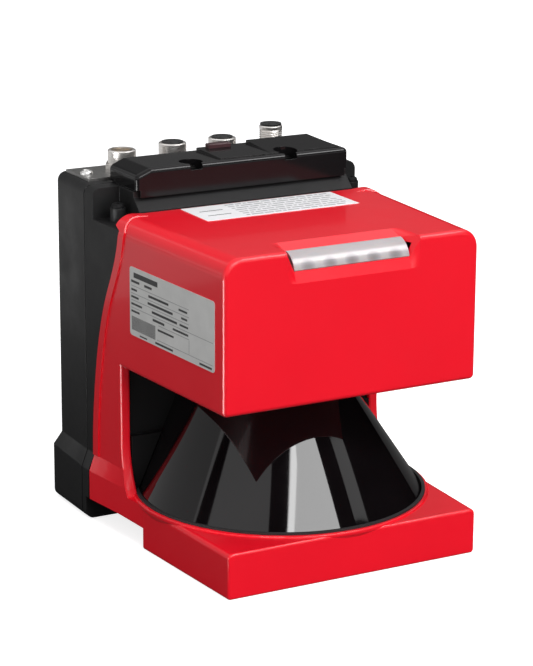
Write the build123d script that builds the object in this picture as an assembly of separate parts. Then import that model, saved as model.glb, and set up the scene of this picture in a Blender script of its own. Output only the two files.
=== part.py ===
from build123d import *
import math
import os

os.makedirs("parts", exist_ok=True)

# Laser scanner. Millimetres, +Z up, front towards -Y, origin at the bottom centre of its box.

# Overall depth and the places worked out from it
fit_gap = 0.3              # room between pieces that lie beside each other
depth = 158.5              # foremost point of the round window seat to the rear face
seat_proud = 1.0           # how far the window seat stands out in front of the base
base_front = -depth / 2 + seat_proud
rear_y = depth / 2

# Hood, outside
side_draft = 0.056         # the sides open out to the rear by this much per mm
head_half = 61.6           # half width of the head at its front
head_setback = 3.5         # the head's front stands this far behind the base's front
head_bottom = 79.0
head_height = 67.2
head_top_r = 8.3
head_front_r = 2.0
head_low_r = 2.2
head_front = base_front + head_setback
head_top = head_bottom + head_height
base_height = 20.5
base_top_r = 2.4
base_low_r = 1.5
base_front_r = 1.2
foot_depth = 72.2          # the base's deep front part
foot_end = base_front + foot_depth
sill_bottom = 10.0         # underside of the sill behind it

# Hood, walls and arms
wall = 3.5
arm_wall = 5.0
gap_depth = 87.75          # head's front to the arms' front edges
arm_front = head_front + gap_depth
arm_sweep = 6.6            # how far the arm's foot curves forward
arm_sweep_height = 25.5
arm_edge_r = 1.4
wing_flare = 0.061         # the lower wings widen by this much per mm of depth
wing_low = 11.0
wing_step = 24.3
wing_high = 32.0
wing_reach = 70.6

# Seat between the red hood and the black housing, in side view
brow_y = 17.0              # rear edge of the head's top
brow_drop = 3.7
seat_high_y = 12.5
seat_low_y = 38.0
seat_low_z = 34.0
seat_bow = [(0.49, 0.316), (0.937, 0.775)]   # share of the run back and of the run down
gasket = 1.2
bead_width = 4.6
bead_proud = 0.7
bead_rise = 0.5
bead_fade = 8.0            # the flange sinks into the head's top over this run

# Window and its seat
rim_y = -12.7
rim_r = rim_y + depth / 2
rim_lift = 0.8
rim_taper = 2.8
rim_drop = 6.2
rim_edge_r = 0.8
window_foot_r = 63.4
window_foot_z = base_height + rim_lift
window_head_r = 31.4
window_head_y = 6.5
window_wall = 3.0
seal_width = 1.6
seal_height = 0.9
seal_depth = 1.4
seal_foot = 1.2
seal_play = 0.05
cover_ledge = 3.6
cover_low = 0.2
cover_high = 2.0
head_seal_t = 0.8

# Black housing in two layers
box_height = 154.5
box_inset = 0.6            # the black sides stand this far inside the hood's
box_edge_r = 4.0
foot_trim = 1.0            # the layers are drawn this much too long and cut level
rear_depth = 33.0
rear_gasket = 0.8
rear_edge_r = 1.2
groove_sink = 0.9
long_screw_x = 58.0
long_screw_low = 12.0
long_screw_high = 142.4
long_screw_r = 2.0
long_screw_bite = 5.0
long_boss_r = 5.2
long_head_r = 3.5
long_sink = 12.0
rear_draft = 0.062         # the rear layer's sides close in again
rear_front = rear_y - rear_depth
parting_y = rear_front - rear_gasket
rail_front = 42.0
rail_top = 11.0
bulkhead = 2.5
chamfer_rise = 5.2         # sloping band above the head's rear edge
chamfer_run = 5.8
chamfer_foot = 0.4
notch_x = 54.0
notch_floor = 140.7
notch_rear = 38.0
notch_r = 3.0
lug_x = 59.5
lug_y = 28.5
lug_half = 4.2
lug_low = 131.0
boss_r = 3.4
boss_height = 6.5

# Connector cover
cover_front = 21.5
cover_depth = 26.6
cover_half = 53.65
cover_top = 164.6
cover_bevel = 6.85
cover_bevel_drop = 2.8
cover_bevel_r = 2.6
cover_end_r = 2.2
cover_skirt = 151.9
cover_side_low = 155.2
cover_wall = 2.2
cover_rear = cover_front + cover_depth
pad_rise = 1.2
pad_front = 0.5
pad_side = 4.5
pad_middle_x = -10.5
pad_right_x = 15.0
cover_edge_r = 2.0
pocket_x = 24.0
pocket_r = 5.4
pocket_floor_z = 158.2
memory_x0 = -6.0
memory_x1 = 5.0
memory_depth = 4.0
memory_top = 167.5
pocket_notch = 3.0
cover_screw_y = cover_front + 6.0

# Connectors on top
plate_half = 62.5
plate_front = 52.0
plate_rear = 76.0
plate_t = 1.2
plate_screw_x = 59.0
plate_screw_y = 61.5
connector_y = 67.2
connector_pitch = 25.75
collar_r = 6.4
collar_top = 165.2
pin_collar_top = 164.3
shell_r = 5.9
thread_r = 5.4
thread_top = 168.6
stud_r = 4.9
stud_bore_r = 4.3
nut_r = 8.2
nut_t = 2.4
shell_bore_r = 5.0
shell_low = 147.6
insert_rise = 0.5
insert_cap_r = 5.0
plug_sink = 5.2
plug_rise = 0.9
pin_r = 0.5
pin_circle = 2.9
pin_count = 8
pin_length = 3.6

# Scanning unit
axis_y = -4.0
motor_r = 17.0
motor_wall = 1.5
motor_low = 23.0
motor_height = 10.0
motor_flange_r = 18.4
motor_flange_t = 2.0
motor_ear = 24.0
motor_screw_x = 20.6
motor_lid = 2.0
air_gap = 0.7
core_r = 9.5
core_height = 3.8
shaft_r = 2.5
shaft_play = 0.03
bearing_r = 6.5
bearing_t = 3.0
bearing_boss = 2.0
mirror_r = 13.5
mirror_low = 44.0
mirror_rim = 2.0
mirror_t = 1.8
mirror_bore = 9.0
encoder_r = 16.4
encoder_z = 39.6
encoder_t = 0.8
encoder_hub_r = 5.5
encoder_slots = 20
slot_in = 13.0
slot_out = 15.2
slot_width = 1.6
sensor_reach = 9.5
sensor_width = 8.0
sensor_gap = 2.4
carrier_gap = 0.3
carrier_y = 15.0
carrier_t = 3.0
floor_half = 26.0
floor_front = -36.0
rib_x = 40.0
rib_t = 2.0
rib_depth = 4.0
ledge_z = 46.5
ledge_out = 2.5

# Receiving optics in the head
tube_r = 16.0
tube_wall = 1.5
tube_high = 122.0
tube_low = 77.4
tube_flange_r = 22.5
tube_screw_r = 19.3
tube_flange_t = 2.5
lens_lip = 1.2
lens_t = 3.2
lens_rise = 2.4
laser_r = 5.0
laser_z = 104.0
laser_length = 34.0
fold_r = 3.4
fold_stem_r = 1.2
stop_t = 1.0
stop_hole_r = 1.5
fold_lift = 1.5
bracket_x = 31.0
bracket_screw = 12.0
board_t = 1.6
main_board_y = 26.0
main_board_half = 48.0
main_board_low = 87.0
main_board_high = 137.0
link_half = 17.0
link_low = 108.0
link_high = 114.0
rear_board_y = 58.0
rear_board_half = 50.0
rear_board_low = 18.0
rear_board_high = 138.0
spacer_r = 2.6

# Indicator in the head's upper front edge
glow_half = 28.0
glow_ramp = 4.4
glow_rear = -57.5
glow_top_y = -65.0
glow_top_sink = 2.0
glow_low_sink = 1.8
glow_low_z = 137.0
glow_edge_z = 132.3
glow_crown = 2.1
glow_rim = 0.6
glow_plug = 1.2
glow_opening = 6.2
glow_leg_x = 25.3
glow_leg_r = 1.6
glow_leg = 5.0
glow_leds = 5
led_r = 1.9
led_height = 1.6
led_pitch = 10.6

# Labels and small parts
label_t = 0.2
type_label = (-67.4, 3.5, 96.7, 127.3)
note_label = (-35.0, 41.0, -9.7, 16.0)
label_r = 1.6
press_play = 0.02
screw_play = 0.05
screw_r = 1.5
screw_head_r = 2.9
screw_head_t = 1.9
mount_pitch_x = 100.0
mount_pitch_z = 105.0
mount_centre_z = 77.5
mount_bore_r = 2.1
mount_insert_r = 3.6
mount_depth = 10.0
mount_boss_r = 6.0


# Basic shapes
def block(x0, x1, y0, y1, z0, z1):
    """A box between two corners."""
    return Pos((x0 + x1) / 2, (y0 + y1) / 2, (z0 + z1) / 2) * Box(abs(x1 - x0), y1 - y0, z1 - z0)


def rod(x, y, z0, z1, r):
    """An upright cylinder."""
    return Pos(x, y, (z0 + z1) / 2) * Cylinder(r, z1 - z0)


def rod_y(x, z, y0, y1, r):
    """A cylinder along the depth."""
    return Pos(x, (y0 + y1) / 2, z) * Rot(90, 0, 0) * Cylinder(r, y1 - y0)


def rod_x(y, z, x0, x1, r):
    """A cylinder across the width."""
    return Pos((x0 + x1) / 2, y, z) * Rot(0, 90, 0) * Cylinder(r, x1 - x0)


def pipe(x, y, z0, z1, r_out, r_in):
    """An upright tube."""
    return rod(x, y, z0, z1, r_out) - rod(x, y, z0, z1, r_in)


def plan_solid(points, z0, z1):
    """A plan outline raised from z0 to z1."""
    return Pos(0, 0, z0) * extrude(make_face(Polyline(*points, close=True)), z1 - z0)


def side_solid(outline, half):
    """A side-view outline, drawn in y and z, that runs across the width on both sides of centre."""
    return extrude(Plane.YZ * outline, half, both=True)


def side_polygon(points, half):
    """The same from straight runs."""
    return side_solid(make_face(Polyline(*points, close=True)), half)


def both_sides(shape):
    """A right-hand piece and its mirror image."""
    return [shape, mirror(shape, Plane.YZ)]


def bodies(shapes):
    """Separate solids that share one node."""
    return Compound(children=[s for shape in shapes for s in shape.solids()])


def half_at(y, inset=0.0):
    """Half width of the hood at depth y."""
    return head_half + side_draft * (y - head_front) - inset


def tapered(y0, y1, z0, z1, inset=0.0):
    """A block with the hood's draft, inset from its sides."""
    a = half_at(y0, inset)
    b = half_at(y1, inset)
    return plan_solid([(-a, y0), (a, y0), (b, y1), (-b, y1)], z0, z1)


def long_edges(solid, z):
    """The two side edges at height z."""
    return solid.edges().filter_by_position(Axis.Z, z - 0.01, z + 0.01).filter_by(lambda e: abs(e.center().X) > 1)


def front_loop(solid):
    """The edges round the foremost face."""
    return solid.faces().sort_by(Axis.Y)[0].edges()


# Heights and places worked out from the sizes above
pocket_floor = base_height - seal_depth
rim_top = base_height + rim_lift
head_floor = head_bottom + wall
head_ceiling = head_top - wall
carrier_back = carrier_y + carrier_t
carrier_clear = carrier_y - carrier_gap
motor_low = pocket_floor + carrier_t
motor_high = motor_low + motor_height
mirror_high = mirror_low + mirror_rim + 2 * mirror_r - 1
connector_xs = [connector_pitch * (i - 1.5) for i in range(4)]
stem_rs = [shell_r, shell_r, shell_r, stud_r]
plate_top = box_height + plate_t
nut_top = plate_top + nut_t
type_y0, type_y1, type_z0, type_z1 = type_label
note_x0, note_x1, note_y0, note_y1 = note_label


def beyond(y):
    """Everything behind a depth."""
    return block(-100, 100, y, 200, -50, 250)


# The seat line between hood and housing
brow_z = head_top - brow_drop
seat_high_z = brow_z - 1.7
behind = rear_y + 40


def seat_region(shift, crown=False):
    """Everything behind the seat line, moved back by shift; the housing's own top slopes back over the head."""
    run = seat_low_y - seat_high_y
    drop = seat_high_z - seat_low_z
    bow = [(seat_high_y + a * run, seat_high_z - b * drop) for a, b in seat_bow]
    high = (seat_high_y, seat_high_z)
    low = (seat_low_y, seat_low_z)
    edge = Spline(high, *bow, low, tangents=[(run, -1.9 * drop), (0, -1)])
    upper = [(brow_y, 220)]
    if crown:
        slope_z = head_top + chamfer_foot
        back = brow_y + chamfer_run
        upper = [(back, 220), (back, slope_z + chamfer_rise), (brow_y, slope_z)]
    rest = Polyline(low, (seat_low_y, -30), (behind, -30), (behind, 220), *upper, (brow_y, brow_z), high)
    return side_solid(Pos(shift, 0) * make_face(edge + rest), 100)


# Hood pieces
def head_shell():
    """The head: a drafted box with a large radius along its top sides."""
    head = tapered(head_front, seat_low_y + 20, head_bottom, head_top)
    head = fillet(long_edges(head, head_top), head_top_r)
    head = fillet(long_edges(head, head_bottom), head_low_r)
    return fillet(front_loop(head), head_front_r)


def head_cavity():
    """The hollow of the head, open to the rear."""
    hollow = tapered(head_front + wall, seat_low_y + 25, head_bottom + wall, head_top - wall, wall)
    return fillet(long_edges(hollow, head_top - wall), head_top_r - wall)


def base_slab():
    """The base: a deep foot in front and a shallower sill behind it."""
    slab = tapered(base_front, seat_low_y + 20, 0, base_height)
    slab -= block(-100, 100, foot_end, seat_low_y + 30, -1, sill_bottom)
    slab = fillet(long_edges(slab, base_height), base_top_r)
    slab = fillet(long_edges(slab, 0), base_low_r)
    return fillet(front_loop(slab), base_front_r)


def arm_outline():
    """Side view of an arm with the sill under it."""
    foot = (arm_front - arm_sweep, base_height)
    knee = (arm_front, base_height + arm_sweep_height)
    front = TangentArc(knee, foot, tangent=(0, -1))
    far = seat_low_y + 20
    top = head_bottom + wall
    rest = Polyline(foot, (foot_end, base_height), (foot_end, sill_bottom), (far, sill_bottom), (far, top),
                    (arm_front, top), knee)
    return make_face(front + rest)


def side_arms():
    """The two arms that carry the head."""
    far = seat_low_y + 20
    near = arm_front - arm_sweep - 6
    sheet = tapered(near, far, sill_bottom, head_bottom + wall)
    sheet -= tapered(near - 1, far + 1, 0, head_bottom + wall + 1, arm_wall)
    arms = sheet & side_solid(arm_outline(), 100)
    arms -= block(-100, 100, near - 1, arm_front, 0, base_height)
    edges = arms.edges().filter_by_position(Axis.Y, near, arm_front + 0.01)
    edges = edges.filter_by(lambda e: e.center().Z > base_height + 1 and e.length > arm_wall + 1)
    return fillet(edges, arm_edge_r)


def wing_section(y, side, reach, low):
    """Half cross-section of a lower wing at depth y, from the side out to reach."""
    points = [(side - wall, low), (reach, low), (reach, wing_step), (side, wing_high), (side - wall, wing_high)]
    face = make_face(Polyline(*points, close=True))
    return Plane(origin=(0, y, 0), x_dir=(1, 0, 0), z_dir=(0, -1, 0)) * face


def wings():
    """The lower wings, which flare from nothing at the foot's end."""
    far = seat_low_y + 12
    near_side = half_at(foot_end)
    far_side = half_at(far)
    grow = wing_flare * (far - foot_end)
    near = wing_section(foot_end, near_side, near_side + 0.01, wing_low)
    wing = loft([near, wing_section(far, far_side, far_side + grow, wing_low)], ruled=True)
    wing = wing & side_solid(arm_outline(), 100)
    return both_sides(wing)


def rim_boss():
    """The round seat of the window, which breaks out of the base in front and at the sides."""
    top = base_height + rim_lift
    low = top - rim_drop
    band = 2 * rim_edge_r
    skirt = Pos(0, rim_y, (top - band + low) / 2) * Cone(rim_r - rim_taper, rim_r, top - band - low)
    lip = rod(0, rim_y, top - band, top, rim_r)
    return skirt + fillet(lip.edges().filter_by_position(Axis.Z, top - 0.01, top + 0.01), rim_edge_r)


def bead():
    """The raised flange round the hood's rear edge."""
    crest = head_top + bead_rise
    band = tapered(seat_high_y - 14, seat_low_y + 20, wing_high, crest, -bead_proud)
    band = fillet(long_edges(band, crest), head_top_r + bead_proud)
    band -= tapered(seat_high_y - 20, seat_low_y + 30, 0, brow_z, arm_wall)
    sweep = [(seat_high_y - bead_width, seat_high_z), (brow_y - bead_width, crest + 1), (seat_high_y - 20, crest + 1),
             (seat_high_y - 20, seat_high_z)]
    band = (band & (seat_region(-bead_width) + block(-100, 100, seat_high_y - bead_width, brow_y, seat_high_z, crest))
            - side_polygon(sweep, 100))
    start = half_at(seat_high_y) - head_top_r
    end = start - bead_fade
    under = head_top - 0.2
    ramp = [(-start, crest + 1), (-start, crest), (-end, under), (end, under), (start, crest), (start, crest + 1)]
    return band - extrude(Plane.XZ * make_face(Polyline(*ramp, close=True)), 100, both=True)


def glow_cut():
    """The recess of the indicator, with sloping ends."""
    top = head_top + 0.05
    front = head_front - 0.05
    out_y = head_front - 6
    out_z = head_top + 5
    deep = [(glow_rear, top), (glow_top_y, head_top - glow_top_sink), (head_front + glow_low_sink, glow_low_z),
            (front, glow_edge_z), (out_y, glow_edge_z), (out_y, out_z), (glow_rear, out_z)]
    flush = [(glow_rear, top), (front + 1.2, top), (front, top - 1.2),
             (front, glow_edge_z), (out_y, glow_edge_z), (out_y, out_z), (glow_rear, out_z)]
    middle = side_polygon(deep, glow_half)
    inner = Plane.YZ.offset(glow_half) * make_face(Polyline(*deep, close=True))
    outer = Plane.YZ.offset(glow_half + glow_ramp) * make_face(Polyline(*flush, close=True))
    end = loft([inner, outer], ruled=True)
    return [middle] + both_sides(end)


def base_pocket():
    """The hollow under the foot, closed by a cover plate."""
    return tapered(base_front + 6, foot_end - 5, -1, base_height - wall, 7)


def sill_pocket():
    """The relief under the sill."""
    return tapered(foot_end + 4, seat_low_y + 30, sill_bottom - 1, base_height - wall, 9)


def cover_recess():
    """The shallow step that the base cover lies in."""
    return tapered(base_front + cover_ledge, foot_end - cover_ledge, -1, cover_high, cover_ledge + 1)


def lug(side):
    """A lug inside the hood's upper rear corner, which the corner screw pulls up."""
    inner = side * (lug_x - lug_half)
    outer = side * (lug_x + 2.5)
    root = side * (half_at(arm_front, wall) + 1)
    near = seat_high_y - 5.5
    far = lug_y + lug_half
    points = [(inner, near), (root, near), (root, seat_high_y - 1), (outer, seat_high_y + 1), (outer, far), (inner, far)]
    return plan_solid(points, lug_low, notch_floor - wall)


def hood():
    """The red die-cast hood: head, arms, wings, base and window seat in one piece."""
    body = head_shell() - head_cavity()
    body += base_slab()
    body += side_arms()
    for wing in wings():
        body += wing
    body += rim_boss()
    body += bead()
    body -= seat_region(0)
    body -= rod(0, rim_y, pocket_floor, base_height + 5, window_foot_r + seal_width) - beyond(carrier_back)
    body -= rod(0, axis_y, head_bottom - 1, head_bottom + wall + 1, tube_r + carrier_gap)
    for cut in glow_cut():
        body -= cut
    body -= base_pocket()
    body -= cover_recess()
    body -= sill_pocket()
    for x, y in foot_screws():
        body -= rod(x, y, 0, 9, screw_r)
    for x, y in carrier_screws():
        body -= rod(x, y, 0, pocket_floor + 1, screw_r + fit_gap)
    for x, y in optics_screws():
        body -= rod(x, y, head_bottom, head_floor + 1, screw_r)
    for side in (-1, 1):
        body += lug(side)
        body -= rod(side * lug_x, lug_y, lug_low - 1, notch_floor, screw_r)
    return body


# Base cover under the foot
def foot_screws():
    """Places of the base cover's screws."""
    side = half_at(base_front, 8.4)
    near = base_front + 8
    far = foot_end - 7
    return [(-side, near), (side, near), (-side, far), (side, far)]


def foot_screw(x, y, play):
    """A countersunk screw that has some play in its hole; with no play it is the hole."""
    middle = (cover_low + cover_high) / 2
    sink = Pos(x, y, middle) * Cone(screw_head_r - play, screw_r - play, cover_high - cover_low)
    return sink + rod(x, y, middle, 9 - play, screw_r - play)


def base_cover():
    """The plate that closes the foot from below."""
    inset = cover_ledge + fit_gap
    plate = tapered(base_front + inset, foot_end - inset, cover_low, cover_high, inset + 1)
    for x, y in foot_screws():
        plate -= foot_screw(x, y, 0)
    return plate


def base_cover_screws():
    return bodies([foot_screw(x, y, screw_play) for x, y in foot_screws()])


# Window and its seals
def cone_ring(z):
    """Centre and radius of the window's slanting cone at height z."""
    share = (z - window_foot_z) / (head_bottom - window_foot_z)
    y = rim_y + share * (window_head_y - rim_y)
    return y, window_foot_r + share * (window_head_r - window_foot_r)


def slanting_cone(z0, z1, inset):
    """The cone between two heights, inset from the window's outer face."""
    rings = []
    for z in (z0, z1):
        y, r = cone_ring(z)
        rings.append(Pos(0, y, z) * Circle(r - inset))
    return loft(rings, ruled=True)


def front_window():
    """The dark window: an even wall on a slanting cone, open to the rear."""
    top = head_bottom - head_seal_t
    shell = slanting_cone(window_foot_z, top, 0) - slanting_cone(window_foot_z - 1, top + 1, window_wall)
    inner_r = window_foot_r - window_wall
    shell += pipe(0, rim_y, pocket_floor + seal_foot, window_foot_z, window_foot_r, inner_r)
    return shell - beyond(carrier_clear)


def window_seal():
    """The ring round the window's foot and under it."""
    foot_r = window_foot_r + seal_play
    lip = pipe(0, rim_y, pocket_floor, window_foot_z + seal_height, window_foot_r + seal_width - seal_play, foot_r)
    pad = pipe(0, rim_y, pocket_floor, pocket_floor + seal_foot, foot_r, window_foot_r - window_wall - 1)
    return lip + pad - beyond(carrier_clear)


def head_seal():
    """The flat ring between the window and the head."""
    y, r = cone_ring(head_bottom)
    return pipe(0, y, head_bottom - head_seal_t, head_bottom, r, r - window_wall - 1) - beyond(carrier_clear)


# Optics carrier behind and under the window
def carrier_screws():
    """Places of the screws that hold the carrier from below."""
    near = floor_front + 4.5
    far = axis_y + 14
    side = floor_half - 4
    return [(-side, near), (side, near), (-side, far), (side, far)]


def motor_ears():
    return [(-motor_screw_x, axis_y), (motor_screw_x, axis_y)]


def optics_carrier():
    """The black carrier: a wall behind the window with a ledge beside it, and the floor that bears the motor."""
    foot = rim_top + fit_gap
    top = head_bottom - carrier_gap
    half = half_at(carrier_y, arm_wall) - carrier_gap
    body = block(-half, half, carrier_y, carrier_back, foot, top)
    ledge_low = window_foot_z + seal_height + fit_gap
    ledge = block(-half, half, carrier_y - ledge_out, carrier_y, ledge_low, ledge_z)
    body += ledge - slanting_cone(window_foot_z, head_bottom, -fit_gap)
    body += block(-half + 6, half - 6, carrier_y, carrier_back, pocket_floor, foot)
    body += block(-floor_half, floor_half, floor_front, carrier_y, pocket_floor, motor_low)
    for x in (-rib_x, -rib_x / 2, rib_x / 2, rib_x):
        body += block(x - rib_t / 2, x + rib_t / 2, carrier_back, carrier_back + rib_depth, foot, top)
    for x, y in carrier_screws():
        body -= rod(x, y, pocket_floor - 1, motor_low - 0.6, screw_r)
    for x, y in motor_ears() + board_ears():
        body -= rod(x, y, pocket_floor + 0.4, motor_low + 1, screw_r)
    return body


def screw_up(x, y, seat, length):
    """A pan-head screw that goes upwards from its seat."""
    return rod(x, y, seat - screw_head_t, seat, screw_head_r) + rod(x, y, seat, seat + length, screw_r - screw_play)


def screw_down(x, y, seat, length):
    """A pan-head screw that goes downwards, with a bevelled head."""
    head = rod(x, y, seat, seat + screw_head_t, screw_head_r)
    head = chamfer(head.edges().sort_by(Axis.Z)[-1], 0.5)
    return head + rod(x, y, seat - length, seat, screw_r - screw_play)


def screw_back(x, z, seat, length):
    """A pan-head screw along the depth, its head in front of its seat."""
    head = rod_y(x, z, seat - screw_head_t, seat, screw_head_r)
    return head + rod_y(x, z, seat, seat + length, screw_r - screw_play)


def carrier_bolts():
    seat = base_height - wall
    length = motor_low - 0.9 - seat
    return bodies([screw_up(x, y, seat, length) for x, y in carrier_screws()])


# Motor, encoder and mirror
def motor_housing():
    """The motor's cup with its flange, ears and lower bearing seat."""
    outer = rod(0, axis_y, motor_low, motor_high, motor_r)
    outer += rod(0, axis_y, motor_low, motor_low + motor_flange_t, motor_flange_r)
    outer += block(-motor_ear, motor_ear, axis_y - 5, axis_y + 5, motor_low, motor_low + motor_flange_t)
    inside = rod(0, axis_y, motor_low + motor_wall, motor_high, motor_r - motor_wall)
    inside -= pipe(0, axis_y, motor_low, motor_low + motor_wall + bearing_t, bearing_r + motor_wall, bearing_r)
    body = outer - inside
    for x, y in motor_ears():
        body -= rod(x, y, motor_low - 1, motor_high, screw_r + 0.2)
    return body


def motor_cover():
    """The motor's lid with the upper bearing seat."""
    top = motor_high + motor_lid
    lid = rod(0, axis_y, motor_high, top, motor_r)
    lid += rod(0, axis_y, top, motor_high + bearing_t, bearing_r + motor_wall)
    return lid - rod(0, axis_y, motor_high - 1, top + 5, bearing_r)


def motor_bearings():
    """Two bearings, one in the cup and one in the lid."""
    seats = (motor_low + motor_wall, motor_high)
    return bodies([pipe(0, axis_y, z, z + bearing_t, bearing_r - press_play, shaft_r + shaft_play) for z in seats])


def core_span():
    """Lowest and highest point of the motor's cores."""
    middle = (motor_low + motor_wall + bearing_t + motor_high) / 2
    return middle - core_height / 2, middle + core_height / 2


def motor_stator():
    """The fixed core with openings for its windings."""
    low, high = core_span()
    ring = pipe(0, axis_y, low, high, motor_r - motor_wall - press_play, core_r + air_gap)
    middle_r = (core_r + air_gap + motor_r - motor_wall) / 2
    for place in PolarLocations(middle_r, 6):
        ring -= Pos(0, axis_y, (low + high) / 2) * place * Cylinder(1.7, core_height + 2)
    return ring


def motor_rotor():
    low, high = core_span()
    return pipe(0, axis_y, low, high, core_r, shaft_r + press_play)


def rotor_shaft():
    return rod(0, axis_y, motor_low + motor_wall + fit_gap, mirror_low + 5, shaft_r)


def encoder_disc():
    """The slotted disc that gives the mirror's angle."""
    disc = rod(0, axis_y, encoder_z, encoder_z + encoder_t, encoder_r)
    disc += rod(0, axis_y, encoder_z - 2, mirror_low, encoder_hub_r)
    disc -= rod(0, axis_y, encoder_z - 3, mirror_low + 1, shaft_r + press_play)
    middle_r = (slot_in + slot_out) / 2
    for place in PolarLocations(middle_r, encoder_slots):
        disc -= Pos(0, axis_y, encoder_z) * place * Box(slot_out - slot_in, slot_width, 4 * encoder_t)
    return disc


def above_slope(lift):
    """Everything above the mirror's 45 degree face, raised square to it by lift."""
    z = mirror_low + mirror_rim + lift * math.sqrt(2)
    front = axis_y - mirror_r - 10
    span = 2 * mirror_r + 20
    return side_polygon([(front, z - 10), (front + span, z - 10 + span), (front, z - 10 + span)], 2 * mirror_r)


def set_screw_hole(play):
    """The radial screw that locks the mirror on its shaft."""
    return rod_y(0, mirror_low + 3, axis_y + shaft_r + play, axis_y + mirror_r - 2, 1.2 - play)


def mirror_holder():
    """The wedge that carries the mirror, hollowed to keep it light."""
    wedge = rod(0, axis_y, mirror_low, mirror_high, mirror_r) - above_slope(0)
    wedge -= rod(0, axis_y, mirror_low + 7, mirror_high + 1, mirror_bore)
    wedge -= rod(0, axis_y, mirror_low - 1, mirror_low + 5 + fit_gap, shaft_r + press_play)
    return wedge - rod_y(0, mirror_low + 3, axis_y, axis_y + mirror_r + 1, 1.2)


def scan_mirror():
    """The glass on the wedge's slope."""
    glass = rod(0, axis_y, mirror_low, mirror_high + 5, mirror_r - 0.2)
    return (glass & above_slope(0)) - above_slope(mirror_t)


def mirror_set_screw():
    return set_screw_hole(screw_play)


def encoder_sensor():
    """The fork on the carrier's wall that reads the disc."""
    middle = encoder_z + encoder_t / 2
    low = middle - sensor_gap / 2
    high = middle + sensor_gap / 2
    half = sensor_width / 2
    fork = block(-half, half, carrier_y - sensor_reach, carrier_y, low - 2, high + 2)
    return fork - block(-half - 1, half + 1, carrier_y - sensor_reach - 1, axis_y + encoder_r + 0.8, low, high)


def board_ears():
    """Places of the motor board's screws."""
    y = floor_front + 10
    return [(-16, y), (16, y)]


def motor_board():
    """The motor's circuit board on the carrier's floor in front of it."""
    board = block(-20, 20, floor_front + 1, axis_y - motor_flange_r - 1, motor_low, motor_low + board_t)
    board += block(-8, 4, floor_front + 4, floor_front + 10, motor_low + board_t, motor_low + board_t + 1.6)
    for x, y in board_ears():
        board -= rod(x, y, motor_low - 1, motor_low + 3, screw_r + 0.2)
    return board


def motor_screws():
    """The screws of the motor and its board."""
    ears = [screw_down(x, y, motor_low + motor_flange_t, motor_flange_t + 2) for x, y in motor_ears()]
    board = [screw_down(x, y, motor_low + board_t, board_t + 2) for x, y in board_ears()]
    return bodies(ears + board)


# Receiving optics in the head
def optics_screws():
    """Places of the screws of the receiver tube and the laser's bracket."""
    places = []
    for angle in (90, 210, 330):
        x = tube_screw_r * math.cos(math.radians(angle + 180))
        places.append((x, axis_y + tube_screw_r * math.sin(math.radians(angle + 180))))
    return places + [(bracket_x, axis_y - bracket_screw), (bracket_x, axis_y + bracket_screw)]


def receiver_tube():
    """The tube that holds the receiving lens over the mirror, with its flange on the head's floor."""
    tube = rod(0, axis_y, tube_low, tube_high, tube_r)
    tube += rod(0, axis_y, head_floor, head_floor + tube_flange_t, tube_flange_r)
    tube -= rod(0, axis_y, tube_low + lens_lip, tube_high + 1, tube_r - tube_wall)
    tube -= rod(0, axis_y, tube_low - 1, tube_high, tube_r - tube_wall - lens_lip)
    tube -= rod_x(axis_y, laser_z, 0, tube_r + 1, laser_r + 0.1)
    tube -= rod_x(axis_y, laser_z + fold_lift, -tube_r - 1, 0, fold_stem_r)
    for x, y in optics_screws()[:3]:
        tube -= rod(x, y, head_floor - 1, head_floor + 5, screw_r + 0.2)
    return tube


def receiver_lens():
    """The plano-convex lens on the tube's lower lip."""
    r = tube_r - tube_wall - press_play
    seat = tube_low + lens_lip
    ball_r = (r ** 2 + lens_rise ** 2) / (2 * lens_rise)
    cap = Pos(0, axis_y, seat + lens_t + lens_rise - ball_r) * Sphere(ball_r)
    return cap & rod(0, axis_y, seat, seat + lens_t + lens_rise + 1, r)


def field_stop():
    """The thin disc with the small hole that the receiver looks through."""
    return pipe(0, axis_y, tube_high, tube_high + stop_t, tube_r, stop_hole_r)


def receiver_board():
    """The receiver's circuit board with its screening can."""
    low = tube_high + stop_t
    board = block(-18, 18, axis_y - 15, axis_y + 15, low, low + board_t)
    return board + block(-8, 8, axis_y - 7, axis_y + 7, low + board_t, low + board_t + 4)


def fold_mirror():
    """The small slanted mirror on a stem that turns the beam down the tube's axis."""
    knob = rod(0, axis_y, laser_z - fold_r - 1, laser_z + fold_r + 1, fold_r)
    far = 2 * fold_r
    wedge = Polyline((-far, laser_z - far), (far, laser_z + far), (far, laser_z - far), close=True)
    knob -= Pos(0, axis_y, 0) * extrude(Plane.XZ * make_face(wedge), far, both=True)
    return knob + rod_x(axis_y, laser_z + fold_lift, -tube_r, -fold_r / 2, fold_stem_r)


def laser_module():
    """The laser's barrel, which points at the small mirror."""
    near = tube_r - tube_wall
    barrel = rod_x(axis_y, laser_z, near, near + laser_length, laser_r)
    return barrel + rod_x(axis_y, laser_z, near + laser_length - 4, near + laser_length, laser_r + 1)


def laser_bracket():
    """The clamp that stands on the head's floor and holds the laser's barrel."""
    foot = block(bracket_x - 6, bracket_x + 6, axis_y - bracket_screw - 4, axis_y + bracket_screw + 4,
                 head_floor, head_floor + tube_flange_t)
    post = block(bracket_x - 5, bracket_x + 5, axis_y - 8, axis_y + 8, head_floor, laser_z + laser_r + 3)
    bracket = foot + post - rod_x(axis_y, laser_z, bracket_x - 9, bracket_x + 9, laser_r + press_play)
    bracket -= block(bracket_x - 9, bracket_x + 9, axis_y - 0.5, axis_y + 0.5, laser_z, laser_z + 20)
    for x, y in optics_screws()[3:]:
        bracket -= rod(x, y, head_floor - 1, head_floor + 5, screw_r + 0.2)
    return bracket


def optics_bolts():
    seat = head_floor + tube_flange_t
    return bodies([screw_down(x, y, seat, tube_flange_t + wall - 0.5) for x, y in optics_screws()])


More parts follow.
